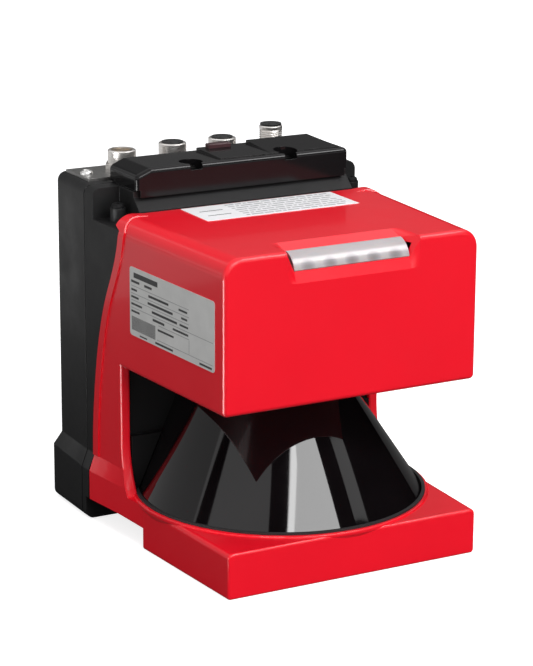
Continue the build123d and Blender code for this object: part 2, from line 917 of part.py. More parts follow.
# Indicator
glow_run = head_front + glow_low_sink - glow_top_y
glow_fall = glow_low_z - (head_top - glow_top_sink)
glow_width = math.hypot(glow_run, glow_fall)
glow_y = (head_front + glow_low_sink + glow_top_y) / 2
glow_z = (glow_low_z + head_top - glow_top_sink) / 2


def glow_place(along, out):
    """A point of the indicator's section: along its seat, and out from it."""
    y = glow_y - along * glow_run / glow_width + out * glow_fall / glow_width
    z = glow_z - along * glow_fall / glow_width - out * glow_run / glow_width
    return y, z


def glow_rod(x, out0, out1, r):
    """A cylinder square to the indicator's seat."""
    y0, z0 = glow_place(0, out0)
    y1, z1 = glow_place(0, out1)
    axis = Vector(0, y1 - y0, z1 - z0)
    return extrude(Plane(origin=(x, y0, z0), z_dir=axis) * Circle(r), axis.length)


def indicator_lens():
    """The frosted bar with a crowned face, a plug behind it and two legs for its board."""
    half = glow_width / 2 - fit_gap
    ends = [glow_place(-half, glow_rim), glow_place(-half, 0), glow_place(half, 0), glow_place(half, glow_rim)]
    outline = Polyline(*ends) + ThreePointArc(ends[3], glow_place(0, glow_crown), ends[0])
    bar = side_solid(make_face(outline), glow_half - 0.1)
    inner = glow_opening / 2 - fit_gap
    plug = [glow_place(-inner, 0.1), glow_place(inner, 0.1), glow_place(inner, -glow_plug), glow_place(-inner, -glow_plug)]
    bar += side_polygon(plug, glow_half - 1)
    for x in (-glow_leg_x, glow_leg_x):
        bar += glow_rod(x, -glow_leg, 0, glow_leg_r)
    return bar


def indicator_board():
    """The strip of circuit board on the lens's legs."""
    low = -glow_leg - board_t
    strip = [glow_place(-3.5, low), glow_place(3.5, low), glow_place(3.5, -glow_leg), glow_place(-3.5, -glow_leg)]
    return side_polygon(strip, glow_half - 1)


def indicator_lamps():
    """The row of lamps behind the lens."""
    middle = (glow_leds - 1) / 2
    places = [(i - middle) * led_pitch for i in range(glow_leds)]
    return bodies([glow_rod(x, -glow_leg, -glow_leg + led_height, led_r) for x in places])


# Black housing
def box_section(y, side, reach, step, high):
    """Outline of the black housing at depth y, with its lower wings."""
    right = [(reach, -foot_trim), (reach, step), (side, high), (side, box_height)]
    left = [(-x, z) for x, z in reversed(right)]
    face = make_face(Polyline(*right, *left, close=True))
    return Plane(origin=(0, y, 0), x_dir=(1, 0, 0), z_dir=(0, -1, 0)) * face


def box_layer(near, far):
    """A layer of the housing between two sections, with its long edges rounded."""
    layer = loft([near, far], ruled=True) - block(-100, 100, -100, 100, -2 * foot_trim, 0)
    layer = fillet(long_edges(layer, box_height), box_edge_r)
    return fillet(long_edges(layer, 0), box_edge_r)


def corner_screws():
    """Places of the screws in the housing's upper corners."""
    return [(-lug_x, lug_y), (lug_x, lug_y)]


def long_screws():
    """Places, in the rear view, of the screws that join the two layers."""
    return [(-long_screw_x, long_screw_low), (long_screw_x, long_screw_low),
            (-long_screw_x, long_screw_high), (long_screw_x, long_screw_high)]


def notch(side):
    """The open corner above the hood's lug."""
    cut = block(side * notch_x, side * 100, -20, notch_rear, notch_floor, 200)
    return fillet(cut.edges().filter_by(Axis.Y).sort_by(Axis.Z)[:2], notch_r)


def base_housing():
    """The front layer of the black housing, which closes the hood from behind."""
    y0 = seat_high_y - 4
    side0 = half_at(y0, box_inset)
    near = box_section(y0, side0, wing_reach, wing_step, wing_high)
    far = box_section(parting_y, half_at(parting_y, box_inset), wing_reach, wing_step, wing_high)
    body = box_layer(near, far) & seat_region(gasket, crown=True)
    body -= block(-100, 100, 0, rail_front, -1, rail_top)
    inset = box_inset + wall
    rear = parting_y - bulkhead
    shelf = notch_floor - wall
    body -= tapered(y0 - 1, rear, base_height + wall, shelf, inset)
    middle = notch_x - wall
    body -= block(-middle, middle, y0 - 1, rear, shelf - 1, brow_z - wall)
    body -= block(-middle, middle, brow_y + gasket + chamfer_run + 2.5, rear, shelf - 1, box_height - wall)
    for side in (-1, 1):
        body -= notch(side)
    for x, y in corner_screws():
        body += rod(x, y, notch_floor - 1, notch_floor + boss_height, boss_r)
        body -= rod(x, y, shelf - 1, notch_floor + boss_height + 1, screw_r + 0.2)
    for x, z in long_screws():
        body -= rod_y(x, z, parting_y - long_screw_bite, parting_y + 1, long_screw_r)
    for x, y in cover_screws():
        body -= rod(x, y, box_height - wall - 2, box_height + 1, screw_r)
    for x, z in main_spacers():
        body -= rod_y(x, z, rear - 1, parting_y + 1, screw_r + 0.2)
    return body - block(-link_half - 1, link_half + 1, rear - 1, parting_y + 1, link_low - 1, link_high + 1)


def hood_gasket():
    """The seal that follows the seat between hood and housing."""
    y0 = seat_high_y - 3
    top = head_top - 1
    ring = tapered(y0, seat_low_y + 10, sill_bottom + 1.5, top, box_inset + 0.6)
    ring -= tapered(y0 - 1, seat_low_y + 11, base_height - fit_gap, brow_z - wall, box_inset + wall)
    ring = (ring & seat_region(0)) - seat_region(gasket, crown=True)
    ring -= block(-100, 100, brow_y, 100, brow_z, 200) & block(-100, 100, brow_y + gasket, 100, 0, 200)
    for side in (-1, 1):
        ring -= notch(side)
    return ring


def corner_bolts():
    seat = notch_floor + boss_height
    return bodies([screw_down(x, y, seat, boss_height + wall + 5) for x, y in corner_screws()])


def rear_gasket_ring():
    """The thin seal between the two layers, set back as a shadow line."""
    half = half_at(parting_y, box_inset + groove_sink)
    inner = half_at(parting_y, box_inset + wall)
    low = groove_sink
    high = box_height - groove_sink
    return (block(-half, half, parting_y, rear_front, low, high)
            - block(-inner, inner, parting_y - 1, rear_front + 1, wall, box_height - wall))


def mount_places():
    """The four mounting points on the rear, as x and z."""
    xs = (-mount_pitch_x / 2, mount_pitch_x / 2)
    zs = (mount_centre_z - mount_pitch_z / 2, mount_centre_z + mount_pitch_z / 2)
    return [(x, z) for x in xs for z in zs]


def rear_housing():
    """The rear layer: a tub open to the front, with screw tubes and mounting bosses inside."""
    side0 = half_at(parting_y, box_inset)
    side1 = side0 - rear_draft * (rear_y - rear_front)
    reach1 = wing_reach - 0.6
    near = box_section(rear_front, side0, wing_reach, wing_step, wing_high)
    far = box_section(rear_y, side1, reach1, wing_step + 1.6, wing_high - 0.8)
    outer = box_layer(near, far)
    outer = chamfer(outer.faces().sort_by(Axis.Y)[-1].edges(), rear_edge_r)
    a = side0 - wall
    b = side1 - wall
    floor_y = rear_y - wall
    body = outer - plan_solid([(-a, rear_front - 1), (a, rear_front - 1), (b, floor_y), (-b, floor_y)],
                              wall, box_height - wall)
    for x, z in long_screws():
        body += rod_y(x, z, rear_front, floor_y + 1, long_boss_r)
    for x, z in mount_places():
        body += rod_y(x, z, rear_y - mount_depth - 2, floor_y + 1, mount_boss_r)
        body -= rod_y(x, z, rear_y - mount_depth - 0.5, rear_y + 1, mount_insert_r)
    for x, z in long_screws():
        body -= rod_y(x, z, rear_front - 1, rear_y + 1, long_screw_r + 0.2)
        body -= rod_y(x, z, rear_y - long_sink, rear_y + 1, long_head_r + 0.4)
    for x, r in zip(connector_xs, stem_rs):
        body -= rod(x, connector_y, box_height - wall - 1, box_height + 1, r + 0.1)
    for x, y in plate_screws():
        body -= rod(x, y, box_height - wall, box_height + 1, screw_r)
    return body


def housing_screws():
    """The long screws that draw the rear layer onto the front one."""
    seat = rear_y - long_sink
    bolts = []
    for x, z in long_screws():
        shank = rod_y(x, z, parting_y - long_screw_bite + 1, seat, long_screw_r - screw_play)
        bolts.append(shank + rod_y(x, z, seat, seat + 3, long_head_r))
    return bodies(bolts)


def mounting_inserts():
    """The four brass inserts for the wall bracket's screws."""
    inserts = []
    for x, z in mount_places():
        sleeve = rod_y(x, z, rear_y - mount_depth, rear_y, mount_insert_r - press_play)
        inserts.append(sleeve - rod_y(x, z, rear_y - mount_depth - 1, rear_y + 1, mount_bore_r))
    return bodies(inserts)


# Circuit boards in the housing
def main_spacers():
    xs = (-main_board_half + 8, main_board_half - 8)
    return [(x, z) for x in xs for z in (main_board_low + 5, main_board_high - 6)]


def rear_spacers():
    xs = (-rear_board_half + 8, rear_board_half - 8)
    return [(x, z) for x in xs for z in (rear_board_low + 24, rear_board_high - 24)]


def main_board():
    """The evaluation board in the head, with its processor and capacitors."""
    y0 = main_board_y
    board = block(-main_board_half, main_board_half, y0, y0 + board_t, main_board_low, main_board_high)
    board += block(-9, 9, y0 - 2, y0, 118, 132)
    board += block(24, 36, y0 - 4, y0, 100, 108)
    for x, z in main_spacers():
        board -= rod_y(x, z, y0 - 1, y0 + 3, screw_r + 0.2)
    return board


def rear_board():
    """The connection board in the rear layer."""
    y0 = rear_board_y
    board = block(-rear_board_half, rear_board_half, y0, y0 + board_t, rear_board_low, rear_board_high)
    board += block(-30, -14, y0 - 6, y0, 40, 62)
    board += block(14, 30, y0 - 5, y0, 76, 90)
    for x, z in rear_spacers():
        board -= rod_y(x, z, y0 - 1, y0 + 3, screw_r + 0.2)
    return board


def board_link():
    """The plug strip that joins the two boards through the bulkhead."""
    near = main_board_y + board_t
    return block(-link_half, link_half, near, rear_board_y, link_low, link_high)


def board_spacers():
    """The pillars that carry both boards."""
    front = [(x, z, main_board_y + board_t, parting_y - bulkhead) for x, z in main_spacers()]
    rear = [(x, z, rear_board_y + board_t, rear_y - wall) for x, z in rear_spacers()]
    pillars = []
    for x, z, y0, y1 in front + rear:
        hexagon = Plane(origin=(x, y1, z), x_dir=(1, 0, 0), z_dir=(0, -1, 0)) * RegularPolygon(spacer_r, 6)
        pillars.append(extrude(hexagon, y1 - y0) - rod_y(x, z, y0 - 1, y0 + 7, screw_r))
    return bodies(pillars)


def board_screws():
    front = [screw_back(x, z, main_board_y, board_t + 5) for x, z in main_spacers()]
    rear = [screw_back(x, z, rear_board_y, board_t + 5) for x, z in rear_spacers()]
    return bodies(front + rear)


# Connector cover on top
def cover_screws():
    return [(-pocket_x, cover_screw_y), (pocket_x, cover_screw_y)]


def cover_block(inset, low):
    """The cover's body between its front and rear, bevelled along its upper left side."""
    side = cover_half - inset
    top = cover_top - inset
    points = [(-side, low), (-side, top - cover_bevel_drop), (cover_bevel - side, top), (side, top), (side, low)]
    section = extrude(Plane.XZ * make_face(Polyline(*points, close=True)), cover_depth - 2 * inset)
    return Pos(0, cover_rear - inset, 0) * section


def cover_body():
    """The cover outside, with all its edges rounded."""
    body = cover_block(0, cover_side_low)
    along = body.edges().filter_by(Axis.Y).group_by(Axis.X)
    body = fillet(along[0].sort_by(Axis.Z)[-1], cover_bevel_r)
    body = fillet(body.edges().filter_by(Axis.Y).filter_by_position(Axis.Z, cover_top - 0.01, cover_top + 0.01)
                  .sort_by(Axis.X)[0], cover_bevel_r)
    body = fillet(body.edges().filter_by(Axis.Y).filter_by_position(Axis.Z, cover_top - 0.01, cover_top + 0.01)
                  .sort_by(Axis.X)[-1], cover_end_r)
    front = body.faces().sort_by(Axis.Y)[0]
    return fillet(front.edges().sort_by(Axis.Z)[1:], cover_edge_r)


def cover_pad(x0, x1, rise, side):
    """A raised panel on the cover's top that rises to the rear, with a slope of its own at its right end."""
    low = cover_top - 0.5
    front = cover_front + 3
    wedge = [(front, low), (cover_rear, low), (cover_rear, cover_top + rise), (front, cover_top + pad_front)]
    pad = Pos((x0 + x1) / 2, 0, 0) * side_polygon(wedge, (x1 - x0) / 2)
    end = [(x1 - side, cover_top + rise), (x1 - side, cover_top + 2 * rise), (x1 + 1, cover_top + 2 * rise),
           (x1 + 1, low - 1), (x1, low)]
    return pad - extrude(Plane.XZ * make_face(Polyline(*end, close=True)), 100, both=True)


def connector_cover():
    """The glossy cover in front of the connectors, with two scooped screw pockets."""
    body = cover_body()
    body += cover_pad(pad_middle_x, pad_right_x + 1, pad_rise, 0.4)
    body += cover_pad(pad_right_x, cover_half - cover_end_r, 2 * pad_rise, pad_side)
    body -= cover_block(cover_wall, cover_side_low - 1)
    skirt_half = cover_half - cover_edge_r
    body += block(-skirt_half, skirt_half, cover_front, cover_front + cover_wall, cover_skirt, cover_side_low + 1)
    for x, y in cover_screws():
        body += rod(x, y, cover_side_low, cover_top - 1, pocket_r + 1.8) & cover_block(0.5, cover_side_low)
        body -= rod(x, y, pocket_floor_z, cover_top + 5, pocket_r)
        body -= block(x - pocket_notch, x + pocket_notch, cover_front - 1, y, cover_top - 2.6, cover_top + 5)
        body -= rod(x, y, cover_side_low - 1, cover_top, screw_r + 0.2)
    x0, x1 = memory_x0 - 0.2, memory_x1 + 0.2
    return body - block(x0, x1, cover_rear - memory_depth - 0.4, cover_rear + 1, cover_side_low - 1, 200)


def cover_gasket():
    """The flat seal under the cover."""
    near = brow_y + gasket + chamfer_run + 0.4
    far = cover_rear - 0.6
    half = cover_half - 0.7
    ring = block(-half, half, near, far, box_height, cover_side_low)
    ring -= block(-half + 2, half - 2, near + 2, far - 2, box_height - 1, cover_side_low + 1)
    for x, y in cover_screws():
        ring -= rod(x, y, box_height - 1, cover_side_low + 1, screw_r + 0.2)
    return ring - block(memory_x0 - 0.2, memory_x1 + 0.2, far - 4, far + 1, box_height - 1, 200)


def cover_bolts():
    length = pocket_floor_z - box_height + wall
    return bodies([screw_down(x, y, pocket_floor_z, length) for x, y in cover_screws()])


def memory_module():
    """The small plug-in memory at the cover's rear edge."""
    rear = cover_rear - 0.2
    body = block(memory_x0, memory_x1, rear - memory_depth, rear, box_height, memory_top)
    return fillet(body.edges().group_by(Axis.Z)[-1], 0.5)


# Connectors
def plate_screws():
    return [(-plate_screw_x, plate_screw_y), (plate_screw_x, plate_screw_y)]


def connector_plate():
    """The bright plate that the connectors stand on."""
    plate = block(-plate_half, plate_half, plate_front, plate_rear, box_height, plate_top)
    for x, r in zip(connector_xs, stem_rs):
        plate -= rod(x, connector_y, box_height - 1, plate_top + 1, r + 0.1)
    for x, y in plate_screws():
        plate -= rod(x, y, box_height - 1, plate_top + 1, screw_r + 0.2)
    return plate


def plate_bolts():
    return bodies([screw_down(x, y, plate_top, plate_t + 3) for x, y in plate_screws()])


def connector_shell(x, top, outer_r, stem_r, bore_r):
    """A connector's metal shell, hollow from the top."""
    shell = rod(x, connector_y, shell_low, top, stem_r) + rod(x, connector_y, nut_top, top, outer_r)
    shell = chamfer(shell.edges().sort_by(Axis.Z)[-1], 0.4)
    return shell - rod(x, connector_y, shell_low + 2, top + 1, bore_r)


def pin_shell():
    """The first shell, whose collar stands round the contact pins."""
    return connector_shell(connector_xs[0], pin_collar_top, collar_r, shell_r, shell_bore_r)


def collar_shells():
    """The two shells whose collars hold the contact sockets."""
    return bodies([connector_shell(x, collar_top, collar_r, shell_r, shell_bore_r) for x in connector_xs[1:3]])


def stud_shell():
    """The fourth shell: a taller threaded stud."""
    return connector_shell(connector_xs[3], thread_top, thread_r, stud_r, stud_bore_r)


def contact_holes(x, high):
    """The four holes in a socket's face."""
    return [Pos(x, connector_y, high) * place * Cylinder(pin_r + 0.1, 5) for place in PolarLocations(pin_circle, 4, 45)]


def socket_inserts():
    """The two black inserts of the collars."""
    high = collar_top + insert_rise
    inserts = []
    for x in connector_xs[1:3]:
        inserts.append(rod(x, connector_y, shell_low + 2, high, shell_bore_r - press_play) - contact_holes(x, high))
    return bodies(inserts)


def stud_insert():
    """The stud's insert, with a cap that lies on the shell's rim."""
    x = connector_xs[3]
    high = thread_top + plug_rise
    insert = rod(x, connector_y, shell_low + 2, high, stud_bore_r - press_play)
    insert += rod(x, connector_y, thread_top + 0.05, high, insert_cap_r)
    return insert - contact_holes(x, high)


def pin_insert():
    """The sunk floor that carries the first connector's pins."""
    return rod(connector_xs[0], connector_y, shell_low + 2, pin_collar_top - plug_sink, shell_bore_r - press_play)


def contact_pins():
    """The gold pins of the first connector."""
    x = connector_xs[0]
    floor = pin_collar_top - plug_sink
    pins = []
    for place in PolarLocations(pin_circle, pin_count - 1):
        pins.append(Pos(x, connector_y, floor + pin_length / 2) * place * Cylinder(pin_r, pin_length))
    pins.append(rod(x, connector_y, floor, floor + pin_length, pin_r))
    return bodies(pins)


def connector_nuts():
    """The flat hexagon nuts that clamp the connectors on their plate."""
    nuts = []
    for x, r in zip(connector_xs, stem_rs):
        hexagon = extrude(Pos(x, connector_y, plate_top) * RegularPolygon(nut_r, 6), nut_t)
        nuts.append(hexagon - rod(x, connector_y, plate_top - 1, nut_top + 1, r + press_play))
    return bodies(nuts)


# Labels
def rounded_sheet(width, height):
    return RectangleRounded(width, height, label_r)


def type_plate():
    """The bare silver label on the head's left side."""
    y = (type_y0 + type_y1) / 2
    z = (type_z0 + type_z1) / 2
    skin = tapered(type_y0 - 2, type_y1 + 2, type_z0 - 2, type_z1 + 2, -label_t)
    skin -= tapered(type_y0 - 3, type_y1 + 3, type_z0 - 3, type_z1 + 3)
    sheet = Plane.YZ * Pos(y, z) * rounded_sheet(type_y1 - type_y0, type_z1 - type_z0)
    return skin & extrude(sheet, -100)


def note_plate():
    """The bare white label on the head's top."""
    x = (note_x0 + note_x1) / 2
    y = (note_y0 + note_y1) / 2
    return extrude(Pos(x, y, head_top) * Rectangle(note_x1 - note_x0, note_y1 - note_y0), label_t)


# Every piece under its name
pieces = {
    "hood": hood(),
    "base_cover": base_cover(),
    "base_cover_screws": base_cover_screws(),
    "front_window": front_window(),
    "window_seal": window_seal(),
    "head_seal": head_seal(),
    "optics_carrier": optics_carrier(),
    "carrier_screws": carrier_bolts(),
    "motor_housing": motor_housing(),
    "motor_cover": motor_cover(),
    "motor_bearings": motor_bearings(),
    "motor_stator": motor_stator(),
    "motor_rotor": motor_rotor(),
    "rotor_shaft": rotor_shaft(),
    "encoder_disc": encoder_disc(),
    "encoder_sensor": encoder_sensor(),
    "mirror_holder": mirror_holder(),
    "scan_mirror": scan_mirror(),
    "mirror_set_screw": mirror_set_screw(),
    "motor_board": motor_board(),
    "motor_screws": motor_screws(),
    "receiver_tube": receiver_tube(),
    "receiver_lens": receiver_lens(),
    "field_stop": field_stop(),
    "receiver_board": receiver_board(),
    "fold_mirror": fold_mirror(),
    "laser_module": laser_module(),
    "laser_bracket": laser_bracket(),
    "optics_screws": optics_bolts(),
    "indicator_lens": indicator_lens(),
    "indicator_board": indicator_board(),
    "indicator_lamps": indicator_lamps(),
    "base_housing": base_housing(),
    "hood_gasket": hood_gasket(),
    "corner_screws": corner_bolts(),
    "rear_gasket": rear_gasket_ring(),
    "rear_housing": rear_housing(),
    "housing_screws": housing_screws(),
    "mounting_inserts": mounting_inserts(),
    "main_board": main_board(),
    "rear_board": rear_board(),
    "board_link": board_link(),
    "board_spacers": board_spacers(),
    "board_screws": board_screws(),
    "connector_cover": connector_cover(),
    "cover_gasket": cover_gasket(),
    "cover_screws": cover_bolts(),
    "memory_module": memory_module(),
    "connector_plate": connector_plate(),
    "plate_screws": plate_bolts(),
    "pin_shell": pin_shell(),
    "collar_shells": collar_shells(),
    "stud_shell": stud_shell(),
    "socket_inserts": socket_inserts(),
    "stud_insert": stud_insert(),
    "pin_insert": pin_insert(),
    "contact_pins": contact_pins(),
    "connector_nuts": connector_nuts(),
    "type_label": type_plate(),
    "note_label": note_plate(),
}
for name, piece in pieces.items():
    export_step(piece, f"parts/{name}.step")
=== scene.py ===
"""Laser scanner: finishes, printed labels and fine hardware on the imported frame.

Metres, +Z up, front towards -Y. Places on the object come from the frame's boxes.
"""

import math

import bpy
from mathutils import Matrix, Vector


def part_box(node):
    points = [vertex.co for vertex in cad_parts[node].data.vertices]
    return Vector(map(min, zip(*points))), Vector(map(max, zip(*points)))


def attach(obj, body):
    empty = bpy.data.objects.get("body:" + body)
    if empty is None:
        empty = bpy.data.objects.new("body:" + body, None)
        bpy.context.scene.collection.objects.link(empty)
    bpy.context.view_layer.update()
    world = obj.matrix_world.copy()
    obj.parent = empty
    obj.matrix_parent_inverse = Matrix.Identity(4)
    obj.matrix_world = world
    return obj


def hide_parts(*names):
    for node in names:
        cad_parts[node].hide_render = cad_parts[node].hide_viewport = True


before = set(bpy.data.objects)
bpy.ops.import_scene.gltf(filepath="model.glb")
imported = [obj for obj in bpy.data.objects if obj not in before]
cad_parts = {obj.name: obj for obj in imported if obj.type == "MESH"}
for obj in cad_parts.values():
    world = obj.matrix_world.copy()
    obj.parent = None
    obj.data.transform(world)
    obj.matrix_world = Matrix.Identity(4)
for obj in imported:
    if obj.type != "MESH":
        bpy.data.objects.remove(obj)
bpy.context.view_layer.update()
scene = bpy.context.scene
mm = 0.001


# Camera, worked out from the photograph's vanishing lines
IMAGE_WIDTH = 533
IMAGE_HEIGHT = 666
FOCAL_PIXELS = 2554.744
CAMERA_PLACE = Vector((-0.53342, -0.95954, 0.39690))
CAMERA_AZIMUTH = math.radians(-29.054)
CAMERA_ELEVATION = math.radians(15.654)
CAMERA_ROLL = math.radians(0.307)
SENSOR_WIDTH = 36.0


def make_camera():
    """The camera at the photograph's place, with no shift and no depth of field."""
    azimuth, elevation, roll = CAMERA_AZIMUTH, CAMERA_ELEVATION, CAMERA_ROLL
    back = Vector((math.sin(azimuth) * math.cos(elevation), -math.cos(azimuth) * math.cos(elevation),
                   math.sin(elevation)))
    level = Vector((math.cos(azimuth), math.sin(azimuth), 0))
    upright = back.cross(level)
    right = math.cos(roll) * level + math.sin(roll) * upright
    up = -math.sin(roll) * level + math.cos(roll) * upright
    data = bpy.data.cameras.new("camera")
    data.sensor_width = SENSOR_WIDTH
    data.lens = FOCAL_PIXELS * SENSOR_WIDTH / max(IMAGE_WIDTH, IMAGE_HEIGHT)
    data.clip_start = 0.05
    data.clip_end = 50
    camera = bpy.data.objects.new("camera", data)
    turn = Matrix((right, up, back)).transposed().to_4x4()
    camera.matrix_world = Matrix.Translation(CAMERA_PLACE) @ turn
    scene.collection.objects.link(camera)
    scene.camera = camera


# Shader nodes: the colour sockets of a Mix node, and the span that noise mostly keeps to
MIX_FIRST = 6
MIX_SECOND = 7
MIX_RESULT = 2
NOISE_SPAN = (0.3, 0.7)
WHITE = (1, 1, 1, 1)


class Nodes:
    """A shader's node tree, with short ways to add nodes and to join them."""

    def __init__(self, tree):
        self.tree = tree

    def feed(self, socket, value):
        """Sets a socket, or links an output to it."""
        if isinstance(value, bpy.types.NodeSocket):
            self.tree.links.new(value, socket)
        else:
            socket.default_value = value

    def node(self, kind, **inputs):
        """Adds a node whose inputs are numbers, colours or other nodes' outputs."""
        made = self.tree.nodes.new("ShaderNode" + kind)
        for key, value in inputs.items():
            self.feed(made.inputs[key.replace("_", " ")], value)
        return made

    def between(self, factor, low, high, start=0.0, end=1.0):
        """Maps start to end onto low to high."""
        made = self.node("MapRange", Value=factor, From_Min=start, From_Max=end, To_Min=low, To_Max=high)
        return made.outputs["Result"]

    def join(self, first, second, kind="ADD"):
        """Adds, multiplies or otherwise joins two values."""
        made = self.node("Math")
        made.operation = kind
        self.feed(made.inputs[0], first)
        self.feed(made.inputs[1], second)
        return made.outputs[0]

    def vector(self, kind, first, second=None, out="Vector"):
        """Adds, turns to unit length or otherwise works on vectors."""
        made = self.node("VectorMath")
        made.operation = kind
        self.feed(made.inputs[0], first)
        if second is not None:
            self.feed(made.inputs[1], second)
        return made.outputs[out]

    def mix(self, factor, first, second):
        """Mixes two colours."""
        made = self.node("Mix")
        made.data_type = "RGBA"
        self.feed(made.inputs[0], factor)
        self.feed(made.inputs[MIX_FIRST], first)
        self.feed(made.inputs[MIX_SECOND], second)
        return made.outputs[MIX_RESULT]


# Materials
class Finish(Nodes):
    """A material: a principled shader with fixed values, and the nodes that vary it."""

    def __init__(self, name, colour, roughness, **values):
        self.material = bpy.data.materials.new(name)
        self.material.use_nodes = True
        super().__init__(self.material.node_tree)
        self.shader = self.tree.nodes["Principled BSDF"]
        self.colour = (*colour, 1)
        self.roughness = roughness
        self.shader.inputs["Base Color"].default_value = self.colour
        self.shader.inputs["Roughness"].default_value = roughness
        for key, value in values.items():
            self.shader.inputs[key.replace("_", " ")].default_value = value
        self.place = self.node("TexCoord").outputs["Object"]

    def noise(self, scale, detail=3.0, stretch=(1, 1, 1)):
        """Soft noise over the object, with scale in cycles per metre."""
        spread = self.node("Mapping", Vector=self.place, Scale=stretch).outputs["Vector"]
        return self.node("TexNoise", Vector=spread, Scale=scale, Detail=detail).outputs[0]

    def vary_colour(self, amount, scale, stretch=(1, 1, 1)):
        """Lets the colour drift a little over the surface."""
        dark = tuple(c * (1 - amount) for c in self.colour[:3]) + (1,)
        light = tuple(min(1, c * (1 + amount)) for c in self.colour[:3]) + (1,)
        spread = self.between(self.noise(scale, 4.0, stretch), 0, 1, *NOISE_SPAN)
        self.feed(self.shader.inputs["Base Color"], self.mix(spread, dark, light))
        return self

    def vary_roughness(self, amount, scale, stretch=(1, 1, 1)):
        """Lets the roughness drift, as on handled surfaces."""
        low = self.roughness * (1 - amount)
        high = self.roughness * (1 + amount)
        spread = self.between(self.noise(scale, 4.0, stretch), low, high, *NOISE_SPAN)
        self.feed(self.shader.inputs["Roughness"], spread)
        return self

    def relief(self, height, scale, detail=2.0, edge=0.0, stretch=(1, 1, 1)):
        """Fine surface relief of a height in metres, over edges softened by a radius."""
        bump = self.node("Bump", Height=self.noise(scale, detail, stretch), Distance=height, Strength=1.0)
        if edge:
            bevel = self.node("Bevel", Radius=edge)
            bevel.samples = 6
            self.feed(bump.inputs["Normal"], bevel.outputs["Normal"])
        self.feed(self.shader.inputs["Normal"], bump.outputs["Normal"])
        return self


def moulded(name, colour, roughness, grain=6e-6, grain_scale=2600, edge=0.3 * mm, drift=0.12, **values):
    """A moulded or cast surface: slow drift of colour and gloss, fine grain and soft edges."""
    made = Finish(name, colour, roughness, **values)
    made.vary_colour(drift, 45).vary_roughness(0.14, 70)
    return made.relief(grain, grain_scale, 2.0, edge).material


def machined(name, colour, roughness, stretch=(1, 1, 14), scale=420, edge=0.15 * mm, **values):
    """Bright metal with fine turning or brushing marks across it."""
    made = Finish(name, colour, roughness, Metallic=1.0, **values)
    made.vary_colour(0.08, 160, stretch).vary_roughness(0.3, scale, stretch)
    return made.relief(2e-6, scale * 2, 3.0, edge, stretch).material


def red_paint():
    """Glossy signal-red paint with a very fine orange peel."""
    made = Finish("red_paint", (0.88, 0.006, 0.020), 0.31, Specular_IOR_Level=0.28,
                  Coat_Weight=0.40, Coat_Roughness=0.08, Coat_IOR=1.45)
    made.vary_colour(0.025, 22).vary_roughness(0.08, 60)
    return made.relief(1.5e-6, 900).material


# The window's cone: the places of its middle along Y at its foot and head, the rise of its
# outward normal for each unit out from the middle, and how that rise falls off along X and Y
WINDOW_FOOT_Y = -12.7 * mm
WINDOW_HEAD_Y = 6.5 * mm
WINDOW_FOOT_Z = 21.3 * mm
WINDOW_RISE = 0.50
WINDOW_FALL = (-0.10, -0.125, 0)


def window_tint(low, high):
    """Deep black-brown window, polished, with the even fall of a moulded slanting cone.

    The slope is worked out from the place on the cone, so that no facet shows in the gloss.
    """
    made = Finish("window_tint", (0.004, 0.003, 0.0035), 0.035, IOR=1.5)
    made.vary_colour(0.2, 30).vary_roughness(0.25, 55)
    axes = made.node("SeparateXYZ", Vector=made.place).outputs
    middle = made.between(axes["Z"], WINDOW_FOOT_Y, WINDOW_HEAD_Y, WINDOW_FOOT_Z, high.z)
    across = made.join(axes["X"], (low.x + high.x) / 2, "SUBTRACT")
    along = made.join(axes["Y"], middle, "SUBTRACT")
    level = made.vector("NORMALIZE", made.node("CombineXYZ", X=across, Y=along).outputs[0])
    fall = made.vector("DOT_PRODUCT", level, WINDOW_FALL, "Value")
    rise = made.node("CombineXYZ", Z=made.join(fall, WINDOW_RISE))
    slope = made.vector("NORMALIZE", made.vector("ADD", level, rise.outputs[0]))
    turned = made.node("VectorTransform", Vector=slope)
    turned.vector_type = "NORMAL"
    ripple = made.noise(900, 2.0)
    bump = made.node("Bump", Height=ripple, Distance=3e-7, Strength=1.0, Normal=turned.outputs[0])
    made.feed(made.shader.inputs["Normal"], bump.outputs["Normal"])
    return made.material


# The indicator's lamps behind their frosted cover. A spot's level and reach are shares of the
# cover's height, counted from its top, and its depth is how far it darkens the cover
LAMP_COUNT = 5
LAMP_RADIUS = 1.9 * mm
SPOT_HALF_WIDTH = 3.8 * mm
SPOT_LEVEL = 0.62
SPOT_REACH = 0.30
SPOT_DEPTH = 0.80


def lamp_middles():
    """Places of the lamps along X."""
    low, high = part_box("indicator_lamps")
    first = low.x + LAMP_RADIUS
    step = (high.x - LAMP_RADIUS - first) / (LAMP_COUNT - 1)
    return [first + i * step for i in range(LAMP_COUNT)]


